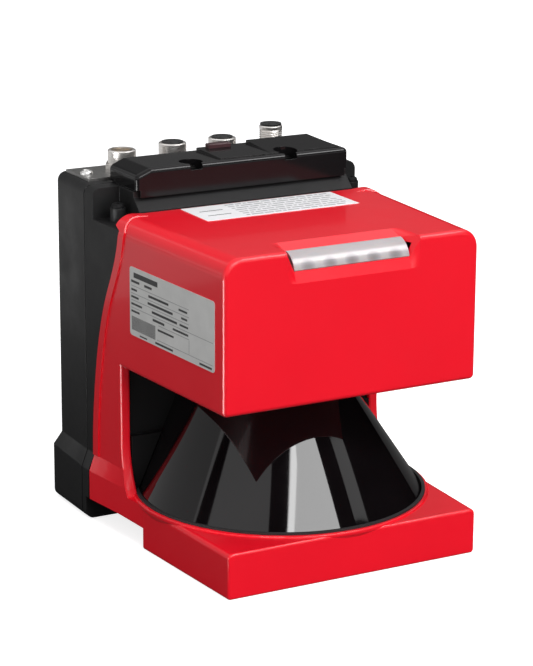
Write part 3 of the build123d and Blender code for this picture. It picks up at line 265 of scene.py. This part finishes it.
def frosted_lens(low, high):
    """Frosted cover of the indicator: milky, with the lamps behind it showing as soft darker spots."""
    made = Finish("frosted", (0.40, 0.36, 0.375), 0.34, Coat_Weight=0.5, Coat_Roughness=0.12,
                  Subsurface_Weight=0.25, Subsurface_Scale=2 * mm)
    axes = made.node("SeparateXYZ", Vector=made.place).outputs
    level = made.between(axes["Z"], 1, 0, low.z, high.z)
    spots = 0.0
    for x in lamp_middles():
        across = made.join(made.join(axes["X"], x, "SUBTRACT"), SPOT_HALF_WIDTH, "DIVIDE")
        down = made.join(made.join(level, SPOT_LEVEL, "SUBTRACT"), SPOT_REACH, "DIVIDE")
        reach = made.join(made.join(across, 2, "POWER"), made.join(down, 2, "POWER"))
        spots = made.join(spots, made.between(reach, 1, 0))
    cloud = made.between(made.noise(160), 0.75, 1.1)
    shade = made.join(made.join(spots, cloud, "MULTIPLY"), SPOT_DEPTH, "MULTIPLY")
    pale = made.mix(made.noise(90), (0.36, 0.33, 0.34, 1), (0.45, 0.41, 0.425, 1))
    made.feed(made.shader.inputs["Base Color"], made.mix(shade, pale, (0.13, 0.12, 0.125, 1)))
    return made.relief(5e-6, 1400, 2.0, 0.25 * mm).material


def label_sheet(name, colour, drift_scale):
    """Printed label stock with a fine tooth."""
    made = Finish(name, colour, 0.42, Specular_IOR_Level=0.4)
    made.vary_colour(0.05, drift_scale).vary_roughness(0.18, 300)
    return made.relief(3e-6, 3200, 2.0, 0.05 * mm).material


def circuit():
    """Green solder mask with the shine of copper runs under it."""
    made = Finish("circuit_board", (0.012, 0.10, 0.035), 0.32)
    grid = made.node("TexBrick", Vector=made.place, Scale=90.0, Color1=(0.010, 0.085, 0.03, 1),
                     Color2=(0.014, 0.12, 0.042, 1), Mortar=(0.03, 0.20, 0.07, 1), Mortar_Size=0.03)
    made.feed(made.shader.inputs["Base Color"], grid.outputs["Color"])
    made.vary_roughness(0.2, 300)
    return made.relief(1.5e-5, 400, 3.0).material


finishes = {
    "red_paint": red_paint(),
    "black_housing": moulded("black_housing", (0.010, 0.010, 0.0104), 0.46, grain=1.2e-5, grain_scale=2100,
                             edge=0.5 * mm, Specular_IOR_Level=0.22),
    "black_gloss": moulded("black_gloss", (0.006, 0.0055, 0.006), 0.12, grain=2e-6, grain_scale=300,
                           drift=0.1, Specular_IOR_Level=0.24),
    "black_inner": moulded("black_inner", (0.004, 0.004, 0.0044), 0.62, grain=2.0e-5, grain_scale=1500,
                           Specular_IOR_Level=0.15),
    "seal_rubber": moulded("seal_rubber", (0.011, 0.011, 0.012), 0.72, grain=1.2e-5, grain_scale=1800,
                           edge=0.2 * mm),
    "lamp_body": moulded("lamp_body", (0.70, 0.66, 0.42), 0.30, grain=4e-6, grain_scale=900, edge=0.1 * mm),
    "steel": machined("steel", (0.46, 0.46, 0.47), 0.34),
    "screw_steel": machined("screw_steel", (0.78, 0.77, 0.76), 0.30, stretch=(1, 1, 1), scale=900),
    "brass": machined("brass", (0.72, 0.50, 0.20), 0.30),
    "encoder": machined("encoder", (0.52, 0.53, 0.55), 0.22, stretch=(1, 1, 1), scale=700),
    "mirror_glass": machined("mirror_glass", (0.86, 0.87, 0.88), 0.03, stretch=(1, 1, 1), scale=40,
                             edge=0.05 * mm),
    "lens_glass": moulded("lens_glass", (0.22, 0.25, 0.30), 0.03, grain=1e-6, grain_scale=60,
                          edge=0.05 * mm, drift=0.1, Transmission_Weight=0.7),
    "memory_maroon": moulded("memory_maroon", (0.048, 0.014, 0.018), 0.33, grain_scale=900, edge=0.25 * mm),
    "plate_alu": machined("plate_alu", (0.27, 0.265, 0.26), 0.42, stretch=(30, 1, 1), scale=300,
                          edge=0.2 * mm),
    "nickel": machined("nickel", (0.84, 0.81, 0.78), 0.34, stretch=(1, 1, 20), scale=360, edge=0.2 * mm),
    "insert_black": moulded("insert_black", (0.010, 0.010, 0.010), 0.34, grain=4e-6, grain_scale=1200),
    "gold": machined("gold", (0.86, 0.58, 0.22), 0.20, stretch=(1, 1, 8), scale=700),
    "sensor_black": moulded("sensor_black", (0.014, 0.014, 0.016), 0.40, grain=8e-6, grain_scale=1600,
                            edge=0.2 * mm),
    "label_silver": label_sheet("label_silver", (0.66, 0.66, 0.65), 120),
    "label_white": label_sheet("label_white", (0.93, 0.93, 0.95), 90),
    "print_black": label_sheet("print_black", (0.030, 0.030, 0.032), 400),
    "print_grey": label_sheet("print_grey", (0.33, 0.33, 0.34), 400),
    "print_pale": label_sheet("print_pale", (0.48, 0.48, 0.50), 400),
    "window_tint": window_tint(*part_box("front_window")),
    "circuit_board": circuit(),
    "frosted": frosted_lens(*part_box("indicator_lens")),
}

dressed = {
    "red_paint": ["hood"],
    "black_housing": ["base_housing", "rear_housing"],
    "black_gloss": ["connector_cover"],
    "black_inner": ["optics_carrier", "base_cover", "receiver_tube", "field_stop", "board_link",
                    "laser_bracket", "mirror_holder", "pin_insert"],
    "window_tint": ["front_window"],
    "seal_rubber": ["window_seal", "head_seal", "hood_gasket", "rear_gasket", "cover_gasket"],
    "frosted": ["indicator_lens"],
    "lamp_body": ["indicator_lamps"],
    "circuit_board": ["indicator_board", "main_board", "rear_board", "motor_board", "receiver_board"],
    "steel": ["motor_housing", "motor_cover", "motor_bearings", "motor_rotor", "motor_stator",
              "rotor_shaft"],
    "screw_steel": ["base_cover_screws", "carrier_screws", "motor_screws", "optics_screws",
                    "housing_screws", "board_screws", "cover_screws", "corner_screws", "plate_screws",
                    "mirror_set_screw"],
    "brass": ["mounting_inserts", "board_spacers", "laser_module"],
    "encoder": ["encoder_disc"],
    "sensor_black": ["encoder_sensor"],
    "mirror_glass": ["scan_mirror", "fold_mirror"],
    "lens_glass": ["receiver_lens"],
    "memory_maroon": ["memory_module"],
    "plate_alu": ["connector_plate"],
    "nickel": ["pin_shell", "collar_shells", "stud_shell", "connector_nuts"],
    "insert_black": ["socket_inserts", "stud_insert"],
    "gold": ["contact_pins"],
    "label_silver": ["type_label"],
    "label_white": ["note_label"],
}


def dress_frame():
    """Gives each carried-over node its finish."""
    for finish, names in dressed.items():
        for name in names:
            for material_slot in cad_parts[name].material_slots:
                material_slot.material = finishes[finish]


# Mesh pieces
SHARP_ANGLE = math.radians(40)


class Shape:
    """Vertices and faces of one piece, gathered from lofts and bars."""

    def __init__(self):
        self.points = []
        self.faces = []

    def loft(self, rings):
        """Joins closed rings of equal count, in order, with the ends closed."""
        first = len(self.points)
        count = len(rings[0])
        for points in rings:
            self.points += [tuple(point) for point in points]
        for lower in range(first, first + (len(rings) - 1) * count, count):
            upper = lower + count
            for i in range(count):
                j = (i + 1) % count
                self.faces.append((lower + i, lower + j, upper + j, upper + i))
        last = first + (len(rings) - 1) * count
        self.faces.append(tuple(range(first + count - 1, first - 1, -1)))
        self.faces.append(tuple(range(last, last + count)))

    def bar(self, corners, rise):
        """A flat bar on four corners, raised by a vector."""
        self.loft([corners, [corner + Vector(rise) for corner in corners]])

    def make(self, name, finish, slot, replaces=()):
        """Turns the gathered faces into a piece of the housing."""
        mesh = bpy.data.meshes.new(name)
        mesh.from_pydata(self.points, [], self.faces)
        mesh.validate()
        mesh.shade_smooth()
        mesh.set_sharp_from_angle(angle=SHARP_ANGLE)
        mesh.materials.append(finishes[finish])
        piece = bpy.data.objects.new(name, mesh)
        scene.collection.objects.link(piece)
        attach(piece, "housing")
        if replaces:
            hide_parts(*replaces)


# Print on the side label, in shares of its length from the rear and of its height from the
# top: rules from start to end at a level, and bars with their own thickness
LABEL_SHEET = 0.2 * mm
PRINT_RISE = 0.03 * mm
TYPE_RULE = 0.009
TYPE_RULES = [(0.02, 0.71, 0.27), (0.02, 0.71, 0.38), (0.02, 0.71, 0.48), (0.02, 0.98, 0.59),
              (0.35, 0.71, 0.69), (0.33, 0.98, 0.905)]
TYPE_UPRIGHT = (0.708, 0.712, 0.80, 0.20)
TYPE_BARS = [(0.05, 0.34, 0.11, 0.075), (0.02, 0.12, 0.205, 0.035), (0.18, 0.27, 0.205, 0.035),
             (0.02, 0.09, 0.325, 0.03), (0.23, 0.47, 0.325, 0.035), (0.59, 0.69, 0.325, 0.03),
             (0.02, 0.11, 0.43, 0.03), (0.22, 0.52, 0.43, 0.035), (0.62, 0.69, 0.43, 0.03),
             (0.02, 0.15, 0.535, 0.03), (0.27, 0.57, 0.535, 0.035), (0.60, 0.70, 0.535, 0.03),
             (0.02, 0.12, 0.64, 0.03), (0.28, 0.42, 0.64, 0.035), (0.52, 0.70, 0.64, 0.03),
             (0.34, 0.53, 0.755, 0.03), (0.12, 0.21, 0.965, 0.02), (0.31, 0.52, 0.955, 0.03),
             (0.83, 0.97, 0.955, 0.03)]
COMB_STROKES = 22
COMB_START = 0.025
COMB_LENGTH = 0.29
COMB_STROKE = 0.0075
COMB_LEVEL = 0.815
COMB_HEIGHT = 0.20


def type_print():
    """Ruled lines, plain bars and an even comb of strokes on the silver label."""
    low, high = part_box("type_label")
    front_x = high.x - LABEL_SHEET
    rules = Shape()
    bars = Shape()

    def at(u, v):
        """A point of the label's face, which leans outwards to the rear."""
        share = 1 - u
        return Vector((front_x + share * (low.x - front_x), low.y + share * (high.y - low.y),
                       high.z - v * (high.z - low.z)))

    def bar(shape, start, end, level, thick):
        top = level - thick / 2
        foot = level + thick / 2
        shape.bar([at(start, top), at(start, foot), at(end, foot), at(end, top)], (-PRINT_RISE, 0, 0))

    for start, end, level in TYPE_RULES:
        bar(rules, start, end, level, TYPE_RULE)
    bar(rules, *TYPE_UPRIGHT)
    for places in TYPE_BARS:
        bar(bars, *places)
    for i in range(COMB_STROKES):
        start = COMB_START + COMB_LENGTH * i / COMB_STROKES
        bar(bars, start, start + COMB_STROKE, COMB_LEVEL, COMB_HEIGHT)
    rules.make("type_label_rules", "print_grey", "label_silver")
    bars.make("type_label_bars", "print_black", "label_silver")


# Print on the head's top label, in shares of its width from the left and of its depth from
# the front: two short rules beside rows of bars of uneven length
NOTE_RULES = [(0.06, 0.21, 0.64), (0.06, 0.21, 0.32)]
NOTE_RULE = 0.028
NOTE_ROWS = 7
NOTE_FIRST_ROW = 0.10
NOTE_ROWS_DEPTH = 0.80
NOTE_ROW = 0.055
NOTE_START = 0.27
NOTE_LAST_START = 0.93
NOTE_END = 0.955
NOTE_SHORTEST = 0.022
NOTE_LONGER = 0.018
NOTE_GAP = 0.011


def note_print():
    """Two short rules, and rows of short pale bars."""
    low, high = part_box("note_label")
    width = high.x - low.x
    depth = high.y - low.y
    rules = Shape()
    rows = Shape()

    def bar(shape, start, end, level, thick):
        left = low.x + start * width
        right = low.x + end * width
        near = low.y + (level - thick / 2) * depth
        far = low.y + (level + thick / 2) * depth
        corners = [(left, near), (right, near), (right, far), (left, far)]
        shape.bar([Vector((x, y, high.z)) for x, y in corners], (0, 0, PRINT_RISE))

    for start, end, level in NOTE_RULES:
        bar(rules, start, end, level, NOTE_RULE)
    for row in range(NOTE_ROWS):
        level = NOTE_FIRST_ROW + NOTE_ROWS_DEPTH * row / (NOTE_ROWS - 1)
        start = NOTE_START
        step = 0
        while start < NOTE_LAST_START:
            run = NOTE_SHORTEST + NOTE_LONGER * ((3 * step + 5 * row) % 4)
            bar(rows, start, min(start + run, NOTE_END), level, NOTE_ROW)
            start += run + NOTE_GAP
            step += 1
    rules.make("note_label_rules", "print_black", "label_white")
    rows.make("note_label_rows", "print_pale", "label_white")


# Screws: the head's outline in shares of its radius and height, and its drive's recess
HEAD_OUTLINE = [(1.0, 0.0), (1.0, 0.45), (0.93, 0.78), (0.72, 1.0)]
DRIVE_SHARE = 0.46
DRIVE_FLARE = 1.06
DRIVE_EDGE = 0.1 * mm
DRIVE_DEPTH = 0.62
LOBE_COUNT = 6
LOBE_SHARE = 0.16
POINT_SHARE = 0.6
POINT_LENGTH = 0.3 * mm
TOP_HEAD_R = 2.9 * mm
TOP_HEAD_RISE = 1.9 * mm
TOP_SHANK_R = 1.45 * mm
LONG_HEAD_R = 3.5 * mm
LONG_HEAD_RISE = 3 * mm
LONG_SHANK_R = 1.95 * mm


def ring(centre, radius, level, count=48, profile=None, axis="Z"):
    """A closed ring round an upright or a depth-wise axis; profile scales the radius by angle."""
    points = []
    for i in range(count):
        angle = 2 * math.pi * i / count
        reach = radius * (profile(angle) if profile else 1)
        across = reach * math.cos(angle)
        along = reach * math.sin(angle)
        if axis == "Z":
            points.append(Vector((centre[0] + across, centre[1] + along, level)))
        else:
            points.append(Vector((centre[0] + across, level, centre[1] - along)))
    return points


def lobes(angle):
    """The lobed outline of a screw's drive."""
    return 1 + LOBE_SHARE * math.cos(LOBE_COUNT * angle)


def screw(centre, tip, seat, top, shank_r, head_r, axis="Z"):
    """A pan-head screw from its tip to its head, with a six-lobed recess."""
    rise = top - seat
    drive_r = head_r * DRIVE_SHARE
    outline = [(shank_r * POINT_SHARE, tip), (shank_r, tip + POINT_LENGTH), (shank_r, seat)]
    outline += [(head_r * across, seat + rise * up) for across, up in HEAD_OUTLINE]
    recess = [(drive_r * DRIVE_FLARE, top), (drive_r, top - DRIVE_EDGE),
              (drive_r, top - rise * DRIVE_DEPTH)]
    rings = [ring(centre, radius, level, axis=axis) for radius, level in outline]
    rings += [ring(centre, radius, level, profile=lobes, axis=axis) for radius, level in recess]
    shape = Shape()
    shape.loft(rings)
    return shape


def top_screws():
    """The screws of the connector plate, the cover and the upper corners, with their recesses."""
    for node, piece, finish in (("plate_screws", "plate_screw", "screw_steel"),
                                ("cover_screws", "cover_screw", "screw_steel"),
                                ("corner_screws", "corner_screw", "black_inner")):
        low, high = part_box(node)
        y = (low.y + high.y) / 2
        seat = high.z - TOP_HEAD_RISE
        for side, x in (("left", low.x + TOP_HEAD_R), ("right", high.x - TOP_HEAD_R)):
            shape = screw((x, y), low.z, seat, high.z, TOP_SHANK_R, TOP_HEAD_R)
            shape.make(f"{piece}_{side}", finish, "screw_steel", replaces=[node])


def rear_screws():
    """The long screws seen deep in their holes from behind."""
    low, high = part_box("housing_screws")
    seat = high.y - LONG_HEAD_RISE
    for side, x in (("left", low.x + LONG_HEAD_R), ("right", high.x - LONG_HEAD_R)):
        for tier, z in (("low", low.z + LONG_HEAD_R), ("high", high.z - LONG_HEAD_R)):
            shape = screw((x, z), low.y, seat, high.y, LONG_SHANK_R, LONG_HEAD_R, axis="Y")
            shape.make(f"housing_screw_{tier}_{side}", "screw_steel", "screw_steel",
                       replaces=["housing_screws"])


# Threaded stud: its bore, its rim's roundings, and a thread that fades out at both ends
STUD_POINTS = 96
STUD_BORE_R = 4.3 * mm
STUD_BORE_FLOOR = 2 * mm
STUD_INNER_EDGE = 0.3 * mm
STUD_OUTER_EDGE = 0.4 * mm
THREAD_PITCH = 1.0 * mm
THREAD_DEPTH = 0.5 * mm
THREAD_OVER_NUT = 0.6 * mm
THREAD_UNDER_TOP = 1.6 * mm
THREAD_STEPS = 10
THREAD_FADE = 6
THREAD_STEEPNESS = 1.25
THREAD_CREST = 0.12


def threaded_stud():
    """The fourth connector's shell with its fine outside thread."""
    low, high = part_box("stud_shell")
    nut_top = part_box("connector_nuts")[1].z
    centre = ((low.x + high.x) / 2, (low.y + high.y) / 2)
    outer = (high.x - low.x) / 2
    start = nut_top + THREAD_OVER_NUT
    end = high.z - THREAD_UNDER_TOP
    steps = int((end - start) / THREAD_PITCH * THREAD_STEPS)

    def thread(level, fade):
        """How the groove winding past a level takes from the radius at each angle."""
        def groove(angle):
            turn = level / THREAD_PITCH - angle / (2 * math.pi)
            crest = abs((turn % 1) * 2 - 1)
            cut = min(1, max(0, THREAD_STEEPNESS * crest - THREAD_CREST))
            return 1 - fade * THREAD_DEPTH / outer * cut
        return groove

    outline = [(STUD_BORE_R, low.z + STUD_BORE_FLOOR), (STUD_BORE_R, high.z - STUD_INNER_EDGE),
               (STUD_BORE_R + STUD_INNER_EDGE, high.z), (outer - STUD_OUTER_EDGE, high.z),
               (outer, high.z - STUD_OUTER_EDGE), (outer, end)]
    rings = [ring(centre, radius, level, STUD_POINTS) for radius, level in outline]
    for k in range(1, steps):
        level = end - (end - start) * k / steps
        fade = min(1, k / THREAD_FADE, (steps - k) / THREAD_FADE)
        rings.append(ring(centre, outer, level, STUD_POINTS, thread(level, fade)))
    foot = [(outer, start), (outer, low.z), (STUD_BORE_R, low.z)]
    rings += [ring(centre, radius, level, STUD_POINTS) for radius, level in foot]
    shape = Shape()
    shape.loft(rings)
    shape.make("stud_shell_threaded", "nickel", "nickel", replaces=["stud_shell"])


# Studio: heights of the cards that reflections see, and the floor's and the world's light
PANEL_HEIGHT = 0.6
EDGE_HEIGHT = PANEL_HEIGHT - 0.005
CARD_HEIGHT = PANEL_HEIGHT + 0.02
LINE_HEIGHT = 1.0
STRIP_HEIGHT = 0.003
GROUND_HEIGHT = 0.002
FLOOR_HALF = 4.0
FLOOR_LIFT = 0.75
FLOOR_BOUNCE = (0.10, 0.10, 0.10, 1)
FLOOR_SEEN = (0.82, 0.82, 0.82, 1)
AMBIENT = 0.40
LIGHTS_AIM = Vector((0, 0, 0.08))


def stage_piece(name, corners, material):
    """A flat piece of the studio on its corners, which isn't part of the object."""
    mesh = bpy.data.meshes.new(name)
    mesh.from_pydata(corners, [], [tuple(range(len(corners)))])
    mesh.materials.append(material)
    piece = bpy.data.objects.new(name, mesh)
    scene.collection.objects.link(piece)
    return piece


def studio_card(name, strength, corners):
    """A flat card of even brightness, seen only in reflections."""
    material = bpy.data.materials.new(name)
    material.use_nodes = True
    material.node_tree.nodes.clear()
    nodes = Nodes(material.node_tree)
    light = nodes.node("Emission", Color=WHITE, Strength=strength)
    nodes.node("OutputMaterial", Surface=light.outputs[0])
    card = stage_piece(name, corners, material)
    card.visible_camera = False
    card.visible_diffuse = False
    card.visible_shadow = False
    card.visible_transmission = False
    card.visible_volume_scatter = False


def level_card(name, strength, height, places):
    """A level card on places of the plan."""
    studio_card(name, strength, [(x, y, height) for x, y in places])


def studio_cards():
    """The dark gaps and bright panels that the window and the gloss reflect."""
    level_card("panel_key", 9.0, PANEL_HEIGHT,
               [(-0.300, -0.582), (-0.045, -0.570), (0.366, -0.555), (0.348, -0.626), (0.317, -0.733),
                (0.240, -1.0), (-0.300, -1.0)])
    level_card("panel_edge", 16.0, EDGE_HEIGHT,
               [(-0.300, -0.582), (-0.045, -0.570), (0.10, -0.570), (0.0, -0.595), (-0.300, -0.612)])
    level_card("panel_streak", 1.2, PANEL_HEIGHT,
               [(0.651, -0.611), (0.986, -0.552), (0.814, -0.716), (0.569, -0.732)])
    level_card("card_gap", 0.0, CARD_HEIGHT,
               [(-0.50, -0.500), (0.50, -0.500), (0.50, -0.62), (-0.50, -0.62)])
    level_card("card_right", 0.0, CARD_HEIGHT,
               [(0.30, -0.50), (0.70, -0.50), (0.70, 0.20), (1.2, 1.0), (3.0, 1.0), (3.0, -1.6),
                (0.20, -1.6)])
    studio_card("card_side", 0.0,
                [(1.5, -1.6, 0.0), (1.5, 2.2, 0.0), (1.5, 2.2, CARD_HEIGHT), (1.5, -1.6, CARD_HEIGHT)])
    level_card("card_band", 0.0, PANEL_HEIGHT,
               [(-0.560, -0.172), (-0.900, 0.094), (-0.960, 0.270), (-0.600, -0.105)])
    level_card("card_left", 0.5, CARD_HEIGHT,
               [(-0.600, -0.105), (-0.960, 0.270), (-1.62, 0.96), (-5.0, 4.5), (-5.0, 6.0), (0.0, 6.0),
                (-0.35, 0.50)])
    level_card("card_ground", 0.65, GROUND_HEIGHT, [(-1.6, 0.36), (0.25, 0.36), (0.25, 1.6), (-1.6, 1.6)])
    studio_card("card_rear", 0.15, [(-0.6, 2.4, 0.0), (2.6, 2.4, 0.0), (2.6, 2.4, 2.2), (-0.6, 2.4, 2.2)])
    level_card("line_low", 16.0, STRIP_HEIGHT, [(-0.09, -0.085), (-0.75, -0.27), (-0.75, 0.13)])
    level_card("line_high", 12.0, LINE_HEIGHT,
               [(0.40, -0.30), (0.72, -0.30), (0.72, -0.80), (0.40, -0.80)])


def soft_light(name, place, width, height, radiance):
    """A rectangular soft light that faces the object and stays out of reflections."""
    data = bpy.data.lights.new(name, "AREA")
    data.shape = "RECTANGLE"
    data.size = width
    data.size_y = height
    data.energy = radiance * math.pi * width * height
    lamp = bpy.data.objects.new(name, data)
    lamp.location = place
    lamp.rotation_euler = (LIGHTS_AIM - Vector(place)).to_track_quat("-Z", "Y").to_euler()
    lamp.visible_glossy = False
    scene.collection.objects.link(lamp)


def studio_lights():
    """Soft lights high in front, broad and low before the object, at its left and above it."""
    soft_light("key", (0.12, -1.05, 1.15), 1.0, 0.8, 5.0)
    soft_light("front", (0.45, -1.9, 0.55), 1.4, 0.7, 4.6)
    soft_light("left", (-1.9, -0.75, 0.75), 1.0, 0.8, 3.6)
    soft_light("top", (0.1, 0.2, 1.6), 1.2, 1.2, 1.2)


def studio_world():
    """White behind the object and in its reflections, and a dimmer even light on it."""
    world = bpy.data.worlds.new("studio")
    world.use_nodes = True
    world.node_tree.nodes.clear()
    scene.world = world
    nodes = Nodes(world.node_tree)
    rays = nodes.node("LightPath").outputs
    seen = nodes.join(rays["Is Camera Ray"], rays["Is Glossy Ray"], "MAXIMUM")
    shown = nodes.join(seen, rays["Is Transmission Ray"], "MAXIMUM")
    ambient = nodes.node("Background", Color=WHITE, Strength=AMBIENT)
    bright = nodes.node("Background", Color=WHITE, Strength=1.0)
    mixed = nodes.node("MixShader")
    nodes.feed(mixed.inputs[0], shown)
    nodes.feed(mixed.inputs[1], ambient.outputs[0])
    nodes.feed(mixed.inputs[2], bright.outputs[0])
    nodes.node("OutputWorld", Surface=mixed.outputs[0])


def studio_floor():
    """A broad floor, white to the camera and dim in what it sends back to the object."""
    material = bpy.data.materials.new("floor")
    material.use_nodes = True
    nodes = Nodes(material.node_tree)
    shader = nodes.tree.nodes["Principled BSDF"]
    shader.inputs["Roughness"].default_value = 0.9
    shader.inputs["Specular IOR Level"].default_value = 0.0
    shader.inputs["Emission Color"].default_value = WHITE
    seen = nodes.node("LightPath").outputs["Is Camera Ray"]
    nodes.feed(shader.inputs["Emission Strength"], nodes.join(seen, FLOOR_LIFT, "MULTIPLY"))
    nodes.feed(shader.inputs["Base Color"], nodes.mix(seen, FLOOR_BOUNCE, FLOOR_SEEN))
    corners = [(-FLOOR_HALF, -FLOOR_HALF, 0), (FLOOR_HALF, -FLOOR_HALF, 0), (FLOOR_HALF, FLOOR_HALF, 0),
               (-FLOOR_HALF, FLOOR_HALF, 0)]
    stage_piece("floor", corners, material)


make_camera()
dress_frame()
type_print()
note_print()
top_screws()
rear_screws()
threaded_stud()
studio_cards()
studio_lights()
studio_world()
studio_floor()
scene.view_settings.view_transform = "Standard"
